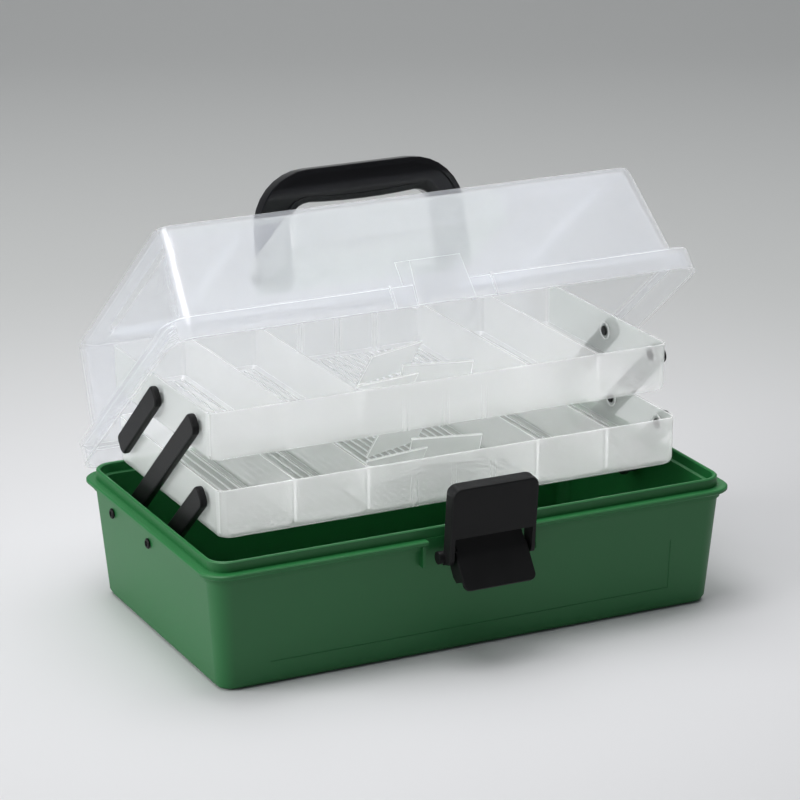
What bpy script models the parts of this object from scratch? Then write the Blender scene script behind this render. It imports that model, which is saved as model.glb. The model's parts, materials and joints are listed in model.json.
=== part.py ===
"""Fishing tackle box: a green tub, a clear lid and two clear trays on cantilever arms.

Metres, +Z up, +X to the right, +Y to the back. The origin is the centre of the tub's underside.
The box stands partly open: lid raised, trays lifted on their arms, latch undone, handle up.
"""

import math

import bmesh
import bpy
from mathutils import Vector

# Overall sizes of the tub
BOX_WIDTH = 0.360
BOX_DEPTH = 0.2132
FLANGE_TOP = 0.0784
FLANGE_THICKNESS = 0.003
LIP_TOP = 0.0849
LIP_INSET = 0.0057
LIP_THICKNESS = 0.0024
WALL_TOP_INSET = 0.005
WALL_FOOT_INSET = 0.0115
WALL_THICKNESS = 0.0026
CORNER_RADIUS = 0.0155
CORNER_STEPS = 7
FOOT_ROUND = 0.004
PANEL_HALF_WIDTH = 0.137
PANEL_FOOT = 0.0152
PANEL_TOP = 0.048
PANEL_DEPTH = 0.0003

# Lid, in its closed place
LID_ANGLE = math.radians(38.5)
LID_TOP = 0.160
LID_SKIN = 0.0022
BAND_HEIGHT = 0.0148
SHELF_INSET = 0.0085
LID_TOP_SIDE_INSET = 0.016
LID_TOP_FRONT_INSET = 0.0172
LID_TOP_BACK_INSET = 0.0105
REST_GAP = 0.0003

# Hinges along the back
HINGE_Y = 0.108
HINGE_Z = FLANGE_TOP
HINGE_X = 0.110
KNUCKLE_RADIUS = 0.004
KNUCKLE_CLEARANCE = 0.0005
LID_KNUCKLE_LENGTH = 0.016
TUB_KNUCKLE_LENGTH = 0.0096
HINGE_PIN_RADIUS = 0.0015

# Handle and its trough, in the closed lid
HANDLE_Y = -0.010
HANDLE_Z = 0.1475
HANDLE_LEAN = math.radians(61)
HANDLE_HALF_WIDTH = 0.072
HANDLE_REACH = 0.065
HANDLE_BAR = 0.021
HANDLE_THICKNESS = 0.011
HANDLE_CORNER = 0.036
HANDLE_INNER_CORNER = 0.014
BEAD_WIDTH = 0.0036
BEAD_HEIGHT = 0.0018
TROUGH_HALF_WIDTH = 0.073
TROUGH_FRONT = -0.0768
TROUGH_BACK = -0.001
TROUGH_FLOOR = 0.1413
TROUGH_SKIN = 0.002
TROUGH_CORNER = 0.004
STUB_RADIUS = 0.003
GRIP_BOW = 0.0015

# Two shallow wells in the lid's top, either side of the handle
WELL_INNER_X = 0.102
WELL_OUTER_X = 0.147
WELL_FRONT = -0.067
WELL_BACK = 0.073
WELL_DEPTH = 0.005
WELL_CORNER = 0.006

# Arms: pivots on the tub's end walls, lifted trays
ARM_ANGLE = math.radians(40.4)
ARM_PITCH = 0.0665
ARM_WIDTH = 0.014
ARM_INNER_X = 0.1581
ARM_THICKNESS = 0.005
ARM_CORNER = 0.0046
ARM_SOCKET_DEPTH = 0.0034
REAR_PIVOT_Y = 0.063
PIVOT_SPACING = 0.060
PIVOT_Z = 0.064
FOOT_BOSS_RADIUS = 0.0064
FOOT_BOSS_END_X = 0.1687
RIVET_RADIUS = 0.002
RIVET_HEAD_RADIUS = 0.0034
RIVET_HEAD_HEIGHT = 0.0012
RIVET_DIMPLE_RADIUS = 0.0017

# Trays
TRAY_HALF_WIDTH = 0.1575
TRAY_HEIGHT = 0.031
TRAY_SKIN = 0.0018
TRAY_DRAFT = 0.0008
TRAY_CORNER = 0.0065
TRAY_FOOT_ROUND = 0.0036
CELL_CORNER = 0.003
CELL_FOOT_ROUND = 0.0018
LOWER_TRAY_FRONT = -0.0704
LOWER_TRAY_DEPTH = 0.165
LOWER_TRAY_FLOOR_Z = 0.0868
UPPER_TRAY_FRONT = -0.0581
UPPER_TRAY_DEPTH = 0.160
UPPER_TRAY_FLOOR_Z = 0.1318
PARTITION_X = (0.058, 0.107)
PARTITION_THICKNESS = 0.0016
GUIDE_PITCH = 0.027
DIVIDER_WIDTH = 0.046
DIVIDER_HEIGHT = 0.026
DIVIDER_THICKNESS = 0.0015

# Latch, in its closed place
LEVER_Y = -0.1103
LEVER_Z = 0.0745
LEVER_ANGLE = math.radians(35)
LEVER_HALF_WIDTH = 0.0243
LEVER_FACE_Y = -0.1166
LEVER_TOP = 0.0695
LEVER_WEB_TOP = 0.0776
LEVER_FOOT = 0.0442
LEVER_CORNER = 0.004
HASP_Y = -0.1072
HASP_Z = 0.0694
HASP_ANGLE = math.radians(6.5)
HASP_HALF_WIDTH = 0.0292
HASP_FACE_Y = -0.1176
HASP_REAR_Y = -0.1071
HASP_TOP = 0.1185
HASP_PLATE_FOOT = 0.0853
HASP_CORNER = 0.006
HASP_EYE = 0.005
HASP_STUB_RADIUS = 0.0022
HOOK_FOOT = 0.1102
LATCH_SKIN = 0.003
LATCH_PIN_RADIUS = 0.0015
EAR_INNER_X = 0.0155
EAR_OUTER_X = 0.0206
KEEPER_FACE_Y = -0.1076
KEEPER_TOP = 0.108
NOTCH_HALF_WIDTH = 0.036

RUNNING_GAP = 0.0003
ROUND_STEPS = 20
FINE_STEPS = 12

HALF_WIDTH = BOX_WIDTH / 2
HALF_DEPTH = BOX_DEPTH / 2

GREEN = (0.016, 0.085, 0.030)
BLACK = (0.008, 0.008, 0.009)
CLEAR = (0.78, 0.80, 0.80)
STEEL = (0.55, 0.55, 0.56)


def start_scene():
    """Empty the scene and make the two collections."""
    for item in list(bpy.data.objects):
        bpy.data.objects.remove(item, do_unlink=True)
    for name in ("fishing_tackle_box", "cutters"):
        bpy.context.scene.collection.children.link(bpy.data.collections.new(name))


def finish(piece, name, colour, roughness, metallic=0.0, alpha=1.0):
    """Give a piece its own Principled material and smooth shading on its round faces."""
    material = bpy.data.materials.new(name)
    material.use_nodes = True
    shader = material.node_tree.nodes["Principled BSDF"]
    shader.inputs["Base Color"].default_value = (*colour, 1.0)
    shader.inputs["Roughness"].default_value = roughness
    shader.inputs["Metallic"].default_value = metallic
    shader.inputs["Alpha"].default_value = alpha
    piece.data.materials.clear()
    piece.data.materials.append(material)
    piece.data.shade_smooth()
    piece.data.set_sharp_from_angle(angle=math.radians(35))


def as_object(name, solid, tool=False):
    """Turn a bmesh into an object, either a part or a wire tool for a Boolean."""
    solid.normal_update()
    bmesh.ops.recalc_face_normals(solid, faces=solid.faces)
    mesh = bpy.data.meshes.new(name)
    solid.to_mesh(mesh)
    solid.free()
    made = bpy.data.objects.new(name, mesh)
    bpy.data.collections["cutters" if tool else "fishing_tackle_box"].objects.link(made)
    made.hide_render = tool
    if tool:
        made.display_type = "WIRE"
    return made


def ring(half_width, front, back, radius, z, steps=CORNER_STEPS):
    """Points round a rounded rectangle at height z."""
    points = []
    for side_x, corner_y, start in ((1, front + radius, -90), (1, back - radius, 0),
                                    (-1, back - radius, 90), (-1, front + radius, 180)):
        for step in range(steps + 1):
            turn = math.radians(start + 90 * step / steps)
            points.append(Vector((side_x * (half_width - radius) + radius * math.cos(turn),
                                  corner_y + radius * math.sin(turn), z)))
    return points


def loft(name, rings, tool=False):
    """A closed solid through rings of equal count, capped at both ends."""
    solid = bmesh.new()
    loops = [[solid.verts.new(point) for point in points] for points in rings]
    solid.faces.new(loops[0])
    solid.faces.new(loops[-1])
    for low, high in zip(loops, loops[1:]):
        for here, there in zip(range(-1, len(low) - 1), range(len(low))):
            solid.faces.new((low[here], low[there], high[there], high[here]))
    return as_object(name, solid, tool)


def prism(name, outline, low, high, axis="X", tool=False):
    """A flat outline extruded along one axis; the outline gives the other two axes in order."""
    place = {"X": lambda a, b: (low, a, b), "Y": lambda a, b: (a, low, b), "Z": lambda a, b: (a, b, low)}
    solid = bmesh.new()
    face = solid.faces.new([solid.verts.new(place[axis](a, b)) for a, b in outline])
    swept = bmesh.ops.extrude_face_region(solid, geom=[face])
    moved = [item for item in swept["geom"] if isinstance(item, bmesh.types.BMVert)]
    step = Vector([high - low if letter == axis else 0 for letter in "XYZ"])
    bmesh.ops.translate(solid, verts=moved, vec=step)
    return as_object(name, solid, tool)


def boxes(name, corners, tool=False):
    """One mesh of separate boxes, each given by its low and high corner."""
    solid = bmesh.new()
    for low, high in corners:
        made = bmesh.ops.create_cube(solid, size=1)["verts"]
        size = [b - a for a, b in zip(low, high)]
        bmesh.ops.scale(solid, verts=made, vec=size)
        bmesh.ops.translate(solid, verts=made, vec=[(a + b) / 2 for a, b in zip(low, high)])
    return as_object(name, solid, tool)


def rods(name, radius, spans, y, z, steps=ROUND_STEPS, tool=False):
    """One mesh of separate round rods along X, each given by its two ends."""
    solid = bmesh.new()
    for low, high in spans:
        made = bmesh.ops.create_cone(solid, cap_ends=True, segments=steps, radius1=radius,
                                     radius2=radius, depth=high - low)["verts"]
        for vert in made:
            x, across, along = vert.co
            vert.co = (along + (low + high) / 2, y + x, z + across)
    return as_object(name, solid, tool)


def frustum(name, front, back, tool=False):
    """A six-sided block between two trapezoids: (y, low z, high z, low half width, high half width)."""
    solid = bmesh.new()
    for vert in bmesh.ops.create_cube(solid, size=2)["verts"]:
        y, low_z, high_z, low_half, high_half = front if vert.co.y < 0 else back
        half, z = (low_half, low_z) if vert.co.z < 0 else (high_half, high_z)
        vert.co = (vert.co.x * half, y, z)
    return as_object(name, solid, tool)


def combine(piece, tool, operation="DIFFERENCE"):
    """Cut a tool from a piece, or join it on; the tool follows the piece."""
    tool.parent = piece
    change = piece.modifiers.new(tool.name, "BOOLEAN")
    change.operation = operation
    change.object = tool


def soften(piece, width, segments=2):
    """Round a piece's sharp edges."""
    bevel = piece.modifiers.new("rounded edges", "BEVEL")
    bevel.width = width
    bevel.segments = segments
    bevel.limit_method = "ANGLE"
    bevel.angle_limit = math.radians(40)


def arc(centre_a, centre_b, radius, start, end, steps):
    """Points of an arc in degrees, both ends included."""
    turns = [math.radians(start + (end - start) * step / steps) for step in range(steps + 1)]
    return [(centre_a + radius * math.cos(turn), centre_b + radius * math.sin(turn)) for turn in turns]


def both_sides(low, high):
    """The same stretch of X on the right and on the left."""
    return [(low, high), (-high, -low)]


def tub_inset(z):
    """How far the tub's outer wall stands in from the flange's edge at height z."""
    share = (FLANGE_TOP - FLANGE_THICKNESS - z) / (FLANGE_TOP - FLANGE_THICKNESS)
    return WALL_TOP_INSET + (WALL_FOOT_INSET - WALL_TOP_INSET) * share


def tub_ring(inset, z):
    """A ring of the tub, set in from the flange's edge by the same amount all round."""
    radius = CORNER_RADIUS - inset / 2
    return ring(HALF_WIDTH - inset, inset - HALF_DEPTH, HALF_DEPTH - inset, radius, z)


def panel_y(z):
    """Y of the tub's front wall at height z."""
    return tub_inset(z) - HALF_DEPTH


def make_tub():
    """The tub: drafted walls, step under the flange, flange, lip and inner ledge in one loft."""
    under = FLANGE_TOP - FLANGE_THICKNESS
    edge = 0.0007
    step_drop = 0.002
    step_out = 0.0009
    ledge = 0.0018
    floor = WALL_THICKNESS
    lip_inner = LIP_INSET + LIP_THICKNESS
    foot_inner = WALL_FOOT_INSET + WALL_THICKNESS
    bend = FOOT_ROUND * (1 - math.sqrt(0.5))
    rings = [
        tub_ring(WALL_FOOT_INSET + FOOT_ROUND, 0),
        tub_ring(WALL_FOOT_INSET + bend, bend),
        tub_ring(WALL_FOOT_INSET - edge / 2, FOOT_ROUND),
        tub_ring(tub_inset(under - 2 * step_drop), under - 2 * step_drop),
        tub_ring(WALL_TOP_INSET - step_out, under - 2 * step_drop),
        tub_ring(WALL_TOP_INSET - step_out, under - step_drop),
        tub_ring(WALL_TOP_INSET - 2 * step_out, under - step_drop),
        tub_ring(WALL_TOP_INSET - 2 * step_out, under),
        tub_ring(edge, under),
        tub_ring(0, under + edge),
        tub_ring(0, FLANGE_TOP - edge),
        tub_ring(edge, FLANGE_TOP),
        tub_ring(LIP_INSET, FLANGE_TOP),
        tub_ring(LIP_INSET, LIP_TOP - edge),
        tub_ring(LIP_INSET + edge, LIP_TOP),
        tub_ring(lip_inner - edge, LIP_TOP),
        tub_ring(lip_inner, LIP_TOP - edge),
        tub_ring(lip_inner, FLANGE_TOP),
        tub_ring(lip_inner + ledge, FLANGE_TOP - edge),
        tub_ring(foot_inner, floor + FOOT_ROUND),
        tub_ring(foot_inner + bend, floor + bend),
        tub_ring(foot_inner + FOOT_ROUND, floor),
    ]
    tub = loft("base_tub", rings)

    wall_y = tub_inset(LEVER_Z) - HALF_DEPTH
    notch = ((-NOTCH_HALF_WIDTH, -HALF_DEPTH - edge, under - 2 * step_drop - edge),
             (NOTCH_HALF_WIDTH, wall_y, FLANGE_TOP + edge))
    combine(tub, boxes("flange notch", [notch], tool=True))

    sunk = ([(panel_y(z) + PANEL_DEPTH, z) for z in (PANEL_FOOT, PANEL_TOP)]
            + [(panel_y(z) - PANEL_DEPTH, z) for z in (PANEL_TOP, PANEL_FOOT)])
    combine(tub, prism("front panel", sunk, -PANEL_HALF_WIDTH, PANEL_HALF_WIDTH, tool=True))

    rib_x = 0.0375
    rib_width = 0.0022
    rib_foot = 0.0615
    rib_root = wall_y + step_drop
    ribs = [((low, edge - HALF_DEPTH, rib_foot), (high, rib_root, under + edge))
            for low, high in both_sides(rib_x, rib_x + rib_width)]
    combine(tub, boxes("flange ribs", ribs, tool=True), "UNION")

    ear_radius = 0.0036
    root = wall_y + 0.0025
    ear = arc(LEVER_Y, LEVER_Z, ear_radius, 90, 245, 8) + [(root, 0.0585), (root, LEVER_Z + ear_radius)]
    for side, (low, high) in zip(("right", "left"), both_sides(EAR_INNER_X, EAR_OUTER_X)):
        combine(tub, prism("latch ear " + side, ear, low, high, tool=True), "UNION")
    bore = LATCH_PIN_RADIUS + RUNNING_GAP
    combine(tub, rods("ear bores", bore, both_sides(EAR_INNER_X - edge, EAR_OUTER_X + edge),
                      LEVER_Y, LEVER_Z, FINE_STEPS, tool=True))

    offset = (LID_KNUCKLE_LENGTH + TUB_KNUCKLE_LENGTH) / 2 + KNUCKLE_CLEARANCE
    half = TUB_KNUCKLE_LENGTH / 2
    gap_half = LID_KNUCKLE_LENGTH / 2 + KNUCKLE_CLEARANCE
    combine(tub, rods("knuckle gaps", KNUCKLE_RADIUS + KNUCKLE_CLEARANCE,
                      both_sides(HINGE_X - gap_half, HINGE_X + gap_half), HINGE_Y, HINGE_Z, tool=True))
    inner_ends = both_sides(HINGE_X - offset - half, HINGE_X - offset + half)
    outer_ends = both_sides(HINGE_X + offset - half, HINGE_X + offset + half)
    combine(tub, rods("tub knuckles", KNUCKLE_RADIUS, inner_ends + outer_ends, HINGE_Y, HINGE_Z, tool=True),
            "UNION")
    reach = offset + half + edge
    combine(tub, rods("tub hinge bores", HINGE_PIN_RADIUS + RUNNING_GAP,
                      both_sides(HINGE_X - reach, HINGE_X + reach), HINGE_Y, HINGE_Z, FINE_STEPS, tool=True))

    for name, y in (("rear", REAR_PIVOT_Y), ("front", REAR_PIVOT_Y - PIVOT_SPACING)):
        combine(tub, rods("rivet holes " + name, RIVET_RADIUS + RUNNING_GAP,
                          both_sides(HALF_WIDTH - 0.016, HALF_WIDTH), y, PIVOT_Z, FINE_STEPS, tool=True))
    finish(tub, "green polypropylene", GREEN, 0.42)
    return tub


def lid_ring(side, front, back, z, radius):
    """A ring of the lid in hinge coordinates, closed, from insets at the sides, front and back."""
    return ring(HALF_WIDTH - side, front - HALF_DEPTH - HINGE_Y, HALF_DEPTH - back - HINGE_Y, radius,
                z - HINGE_Z)


def make_lid():
    """The lid: rim band, shelf, sloping walls and crown in one loft, then trough, keeper and hinges."""
    rim = FLANGE_TOP + REST_GAP
    shelf = rim + BAND_HEIGHT
    crown = 0.0045
    bend = crown * (1 - math.sqrt(0.5))
    edge = 0.0012

    def even(inset, z):
        return lid_ring(inset, inset, inset, z, CORNER_RADIUS - inset / 2)

    def top(extra, z):
        radius = CORNER_RADIUS - LID_TOP_SIDE_INSET / 2 + extra / 2
        return lid_ring(LID_TOP_SIDE_INSET + extra, LID_TOP_FRONT_INSET + extra,
                        LID_TOP_BACK_INSET + extra, z, radius)

    inner_top = LID_TOP - LID_SKIN
    rings = [
        top(LID_SKIN + crown, inner_top),
        top(LID_SKIN + bend, inner_top - bend),
        top(LID_SKIN, inner_top - crown),
        even(SHELF_INSET + LID_SKIN, shelf - LID_SKIN),
        even(LID_SKIN + edge, shelf - LID_SKIN),
        even(LID_SKIN, shelf - LID_SKIN - edge),
        even(LID_SKIN, rim),
        even(0, rim),
        even(0.0004, shelf - edge),
        even(edge, shelf),
        even(SHELF_INSET - edge, shelf + edge / 3),
        even(SHELF_INSET, shelf + edge),
        top(0, LID_TOP - crown),
        top(bend, LID_TOP - bend),
        top(crown, LID_TOP),
    ]
    lid = loft("lid_shell", rings)

    def recess(name, half, front, back, radius, floor, x=0, skin=TROUGH_SKIN):
        for word, grow, low, high, operation in (
                (" shell", skin, floor - skin, LID_TOP - LID_SKIN / 2, "UNION"),
                (" hollow", 0, floor, LID_TOP + crown, "DIFFERENCE")):
            tool = loft(name + word, [ring(half + grow, front - grow - HINGE_Y, back + grow - HINGE_Y,
                                           radius + grow, z - HINGE_Z, 4) for z in (low, high)], tool=True)
            tool.location.x = x
            combine(lid, tool, operation)

    recess("trough", TROUGH_HALF_WIDTH, TROUGH_FRONT, TROUGH_BACK, TROUGH_CORNER, TROUGH_FLOOR)
    well_half = (WELL_OUTER_X - WELL_INNER_X) / 2
    for word, side in (("right", 1), ("left", -1)):
        recess("well " + word, well_half, WELL_FRONT, WELL_BACK, WELL_CORNER, LID_TOP - WELL_DEPTH,
               side * (WELL_INNER_X + well_half))

    face = KEEPER_FACE_Y - HINGE_Y
    root = SHELF_INSET + 0.004 - HALF_DEPTH - HINGE_Y
    foot_z = rim - HINGE_Z
    top_z = KEEPER_TOP - HINGE_Z
    rise = 0.005
    keeper = frustum("keeper boss", (face, foot_z, top_z, 0.0195, 0.0172),
                     (root, foot_z, top_z + rise, 0.024, 0.0215), tool=True)
    combine(lid, keeper, "UNION")
    skin = LID_SKIN
    hollow = frustum("keeper hollow", (face + skin, foot_z - skin, top_z - skin, 0.0175, 0.0152),
                     (root + skin, foot_z - skin, top_z + rise - skin, 0.022, 0.0195), tool=True)
    combine(lid, hollow)
    relief = 2 * REST_GAP
    lip_y = LIP_INSET - HALF_DEPTH - HINGE_Y
    lip_room = ((-NOTCH_HALF_WIDTH, lip_y - relief, foot_z - skin),
                (NOTCH_HALF_WIDTH, root + skin, LIP_TOP + relief - HINGE_Z))
    combine(lid, boxes("lip relief", [lip_room], tool=True))
    rib_x = 0.0336
    rib_width = 0.0014
    rib_face = -HALF_DEPTH - 0.0009 - HINGE_Y
    ribs = [((low, rib_face, foot_z), (high, skin / 2 - HALF_DEPTH - HINGE_Y, shelf - HINGE_Z))
            for low, high in both_sides(rib_x, rib_x + rib_width)]
    combine(lid, boxes("band ribs", ribs, tool=True), "UNION")

    offset = (LID_KNUCKLE_LENGTH + TUB_KNUCKLE_LENGTH) / 2 + KNUCKLE_CLEARANCE
    half = TUB_KNUCKLE_LENGTH / 2 + KNUCKLE_CLEARANCE
    gaps = (both_sides(HINGE_X - offset - half, HINGE_X - offset + half)
            + both_sides(HINGE_X + offset - half, HINGE_X + offset + half))
    combine(lid, rods("lid knuckle gaps", KNUCKLE_RADIUS + KNUCKLE_CLEARANCE, gaps, 0, 0, tool=True))
    knuckle_half = LID_KNUCKLE_LENGTH / 2
    knuckles = both_sides(HINGE_X - knuckle_half, HINGE_X + knuckle_half)
    combine(lid, rods("lid knuckles", KNUCKLE_RADIUS, knuckles, 0, 0, tool=True), "UNION")
    reach = knuckle_half + edge
    combine(lid, rods("lid hinge bores", HINGE_PIN_RADIUS + RUNNING_GAP,
                      both_sides(HINGE_X - reach, HINGE_X + reach), 0, 0, FINE_STEPS, tool=True))
    stub_hole = both_sides(TROUGH_HALF_WIDTH - edge, TROUGH_HALF_WIDTH + TROUGH_SKIN + edge)
    combine(lid, rods("handle bores", STUB_RADIUS + RUNNING_GAP, stub_hole, HANDLE_Y - HINGE_Y,
                      HANDLE_Z - HINGE_Z, tool=True))

    lid.location = (0, HINGE_Y, HINGE_Z)
    lid.rotation_euler.x = -LID_ANGLE
    finish(lid, "clear polypropylene lid", CLEAR, 0.22, alpha=0.35)
    return lid


def bail_outline(inset):
    """The handle's outline in X and height above its pivots, drawn in by inset on every edge."""
    outer = HANDLE_HALF_WIDTH - inset
    inner = HANDLE_HALF_WIDTH - HANDLE_BAR + inset
    top = HANDLE_REACH - inset
    inner_top = HANDLE_REACH - HANDLE_BAR + inset
    corner = HANDLE_CORNER - inset
    inner_corner = HANDLE_INNER_CORNER + inset
    flat = inner - inner_corner
    foot = 2 * inset
    return ([(outer, foot)]
            + arc(outer - corner, top - corner, corner, 0, 90, 8)
            + arc(corner - outer, top - corner, corner, 90, 180, 8)
            + [(-outer, foot), (-inner, foot)]
            + arc(inner_corner - inner, inner_top - inner_corner, inner_corner, 180, 90, 6)
            + [(share * flat, inner_top - GRIP_BOW * (1 - share ** 2))
               for share in (-0.7, -0.35, 0, 0.35, 0.7)]
            + arc(inner - inner_corner, inner_top - inner_corner, inner_corner, 90, 0, 6)
            + [(inner, foot)])


def make_handle(lid):
    """The folding bail, standing up its own -Y here and turned about its stub pivots in the lid."""
    half = HANDLE_THICKNESS / 2
    handle = prism("carry_handle", [(x, -height) for x, height in bail_outline(0)], -half, half, "Z")
    soften(handle, 0.0009)
    channel = [(x, -height) for x, height in bail_outline(BEAD_WIDTH)]
    for name, low, high in (("upper channel", half - BEAD_HEIGHT, half + BEAD_HEIGHT),
                            ("lower channel", -half - BEAD_HEIGHT, BEAD_HEIGHT - half)):
        combine(handle, prism(name, channel, low, high, "Z", tool=True))
    inner = HANDLE_HALF_WIDTH - HANDLE_BAR
    foot = half - RUNNING_GAP / 3
    feet = both_sides(inner, HANDLE_HALF_WIDTH)
    combine(handle, rods("handle feet", foot, feet, 0, 0, tool=True), "UNION")
    stub_end = TROUGH_HALF_WIDTH + TROUGH_SKIN + 0.0006
    combine(handle, rods("handle stubs", STUB_RADIUS, both_sides(HANDLE_HALF_WIDTH - half, stub_end), 0, 0,
                         tool=True), "UNION")
    handle.parent = lid
    handle.location = (0, HANDLE_Y - HINGE_Y, HANDLE_Z - HINGE_Z)
    handle.rotation_euler.x = -HANDLE_LEAN
    finish(handle, "gloss black handle", BLACK, 0.2)


def pivot_at(steps, spacings):
    """Y and Z of a pivot, a number of arm pitches up from the rear pivot and spacings to the front."""
    return (REAR_PIVOT_Y - spacings * PIVOT_SPACING - steps * ARM_PITCH * math.cos(ARM_ANGLE),
            PIVOT_Z + steps * ARM_PITCH * math.sin(ARM_ANGLE))


def make_arm(name, side, pivot, pitches, has_foot):
    """One arm on one end of the box, from its lower pivot forwards and up, with blind sockets."""
    half = ARM_WIDTH / 2
    flat = half - ARM_CORNER
    length = pitches * ARM_PITCH
    low, high = sorted((side * ARM_INNER_X, side * (ARM_INNER_X + ARM_THICKNESS)))
    outline = (arc(flat, -flat, ARM_CORNER, -90, 0, 4) + arc(flat, flat, ARM_CORNER, 0, 90, 4)
               + arc(-length - flat, flat, ARM_CORNER, 90, 180, 4)
               + arc(-length - flat, -flat, ARM_CORNER, 180, 270, 4))
    arm = prism(name, outline, low, high)
    soften(arm, 0.0013)
    margin = 0.001
    tray_socket = (ARM_INNER_X - margin, ARM_INNER_X + ARM_SOCKET_DEPTH)
    sockets = {step: tray_socket for step in range(pitches + 1)}
    if has_foot:
        boss = sorted((side * (ARM_INNER_X + ARM_THICKNESS / 2), side * FOOT_BOSS_END_X))
        combine(arm, rods(name + " foot boss", FOOT_BOSS_RADIUS, [boss], 0, 0, tool=True), "UNION")
        sockets[0] = (ARM_INNER_X + ARM_THICKNESS - ARM_SOCKET_DEPTH, FOOT_BOSS_END_X + margin)
    for step, ends in sockets.items():
        span = sorted(side * end for end in ends)
        combine(arm, rods(f"{name} socket {step}", RIVET_RADIUS + RUNNING_GAP, [span],
                          -step * ARM_PITCH, 0, FINE_STEPS, tool=True))
    arm.location = (0, *pivot)
    arm.rotation_euler.x = -ARM_ANGLE
    finish(arm, name + " black", BLACK, 0.35)


def make_rivet(name, side, pivot, head_face, tip, facing, dimple):
    """A turned push-in rivet: its head lies against a wall's face and its tip ends in an arm's socket.

    Facing is 1 where the head is on the outside of the box and -1 where it is inside a tray.
    """
    seat = facing * RUNNING_GAP + head_face
    rise = facing * RIVET_HEAD_HEIGHT
    head = RIVET_HEAD_RADIUS
    sunk = rise * 0.2 if dimple else rise * 0.9
    profile = [(0, seat + sunk), (RIVET_DIMPLE_RADIUS, seat + sunk),
               (RIVET_DIMPLE_RADIUS * 1.2, seat + rise), (head * 0.8, seat + rise),
               (head, seat + rise * 0.5), (head, seat), (RIVET_RADIUS, seat), (RIVET_RADIUS, tip), (0, tip)]
    if facing < 0:
        profile.reverse()
    mesh = bpy.data.meshes.new(name)
    mesh.from_pydata([(x, 0, z) for x, z in profile], [(i, i + 1) for i in range(len(profile) - 1)], [])
    rivet = bpy.data.objects.new(name, mesh)
    bpy.data.collections["fishing_tackle_box"].objects.link(rivet)
    turn = rivet.modifiers.new("turned", "SCREW")
    turn.steps = FINE_STEPS
    turn.render_steps = FINE_STEPS
    turn.use_merge_vertices = True
    turn.merge_threshold = 0.00001
    rivet.location = (0, *pivot)
    rivet.rotation_euler.y = side * math.pi / 2
    finish(rivet, name + " black", BLACK, 0.3)


def make_arms_and_rivets():
    """Three arms and seven rivets on each end."""
    tray_inner = TRAY_HALF_WIDTH - TRAY_SKIN
    tray_tip = ARM_INNER_X + ARM_SOCKET_DEPTH - RUNNING_GAP
    wall_outer = HALF_WIDTH - tub_inset(PIVOT_Z) + RUNNING_GAP
    foot_tip = ARM_INNER_X + ARM_THICKNESS - ARM_SOCKET_DEPTH + RUNNING_GAP
    for word, side in (("right", 1), ("left", -1)):
        make_arm("long_arm_" + word, side, pivot_at(0, 0), 2, has_foot=True)
        make_arm("front_arm_" + word, side, pivot_at(0, 1), 1, has_foot=True)
        make_arm("rear_arm_" + word, side, pivot_at(1, -1), 1, has_foot=False)
        for name, spacings in (("rear", 0), ("front", 1)):
            make_rivet(f"tub_rivet_{name}_{word}", side, pivot_at(0, spacings), wall_outer, foot_tip,
                       facing=1, dimple=True)
        for name, spacings in (("rear", -1), ("middle", 0), ("front", 1)):
            make_rivet(f"lower_tray_rivet_{name}_{word}", side, pivot_at(1, spacings), tray_inner, tray_tip,
                       facing=-1, dimple=False)
        for name, spacings in (("rear", -1), ("front", 0)):
            make_rivet(f"upper_tray_rivet_{name}_{word}", side, pivot_at(2, spacings), tray_inner, tray_tip,
                       facing=-1, dimple=False)


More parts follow.
